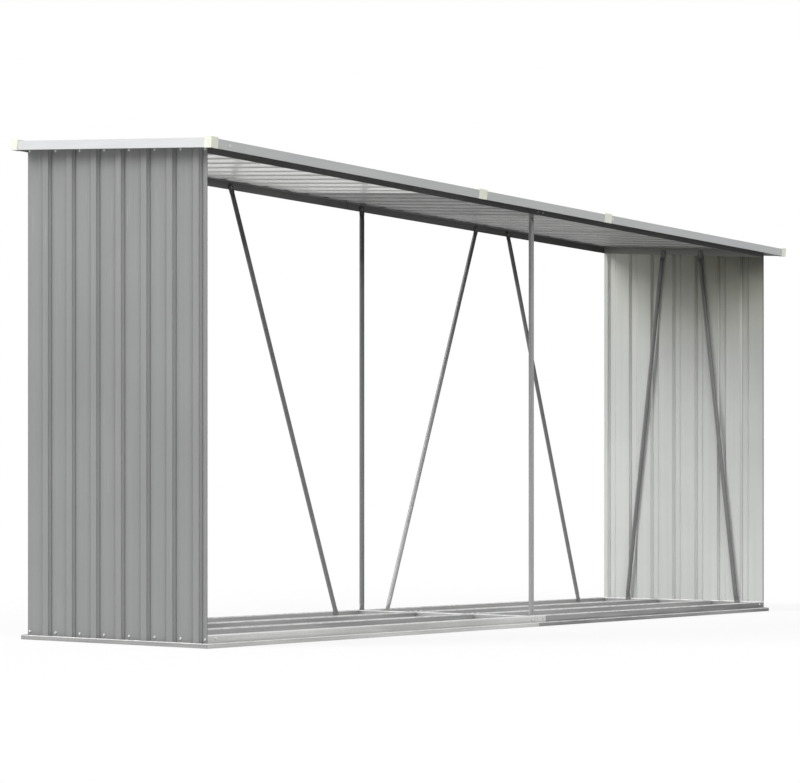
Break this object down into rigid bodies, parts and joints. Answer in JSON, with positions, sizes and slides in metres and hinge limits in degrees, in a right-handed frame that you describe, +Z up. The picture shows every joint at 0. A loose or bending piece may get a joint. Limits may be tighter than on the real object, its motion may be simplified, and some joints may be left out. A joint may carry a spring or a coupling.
{
  "type": "log store",
  "caption": "Long open-fronted metal log store with ribbed end walls, a lean-to ribbed roof, a rail base and tube braces; shelters stacked firewood.",
  "frame": {"origin": "bottom centre of the bounding box, on the ground", "axes": "+X along the length, -Y to the low open side that the picture shows, +Z up"},
  "size_m": [3.3, 0.84, 1.52],
  "materials": {
    "galvanised_rail": "galvanised sheet steel, satin",
    "wall_sheet": "grey paint outside, pale back coat inside",
    "roof_sheet": "grey paint above, glossy pale back coat below",
    "roof_frame": "dark grey paint, satin",
    "tube": "grey coated tube, satin",
    "roof_trim": "pale grey paint, satin",
    "trim_cap": "off-white moulded plastic"
  },
  "bodies": {
    "root": {"base_rail_front_left": "galvanised_rail", "base_rail_front_right": "galvanised_rail", "base_rail_back_left": "galvanised_rail", "base_rail_back_right": "galvanised_rail", "base_rail_left": "galvanised_rail", "base_rail_right": "galvanised_rail", "floor_rail_front_left": "galvanised_rail", "floor_rail_front_right": "galvanised_rail", "floor_rail_back_left": "galvanised_rail", "floor_rail_back_right": "galvanised_rail", "cross_rail_middle": "galvanised_rail", "left_wall": "wall_sheet", "right_wall": "wall_sheet", "top_rail_left": "roof_frame", "top_rail_right": "roof_frame", "front_beam_left": "roof_frame", "front_beam_right": "roof_frame", "back_beam_left": "roof_frame", "back_beam_right": "roof_frame", "front_post": "tube", "back_post": "tube", "back_brace_outer_left": "tube", "back_brace_inner_left": "tube", "back_brace_inner_right": "tube", "back_brace_outer_right": "tube", "left_brace_front": "tube", "left_brace_back": "tube", "right_brace_front": "tube", "right_brace_back": "tube", "roof_sheet_1": "roof_sheet", "roof_sheet_2": "roof_sheet", "roof_sheet_3": "roof_sheet", "roof_sheet_4": "roof_sheet", "roof_sheet_5": "roof_sheet", "front_trim_left": "roof_trim", "front_trim_middle": "roof_trim", "front_trim_right": "roof_trim", "back_trim_left": "roof_trim", "back_trim_middle": "roof_trim", "back_trim_right": "roof_trim", "left_trim": "roof_trim", "right_trim": "roof_trim", "corner_caps": "trim_cap", "joint_clips": "trim_cap"}
  },
  "joints": []
}
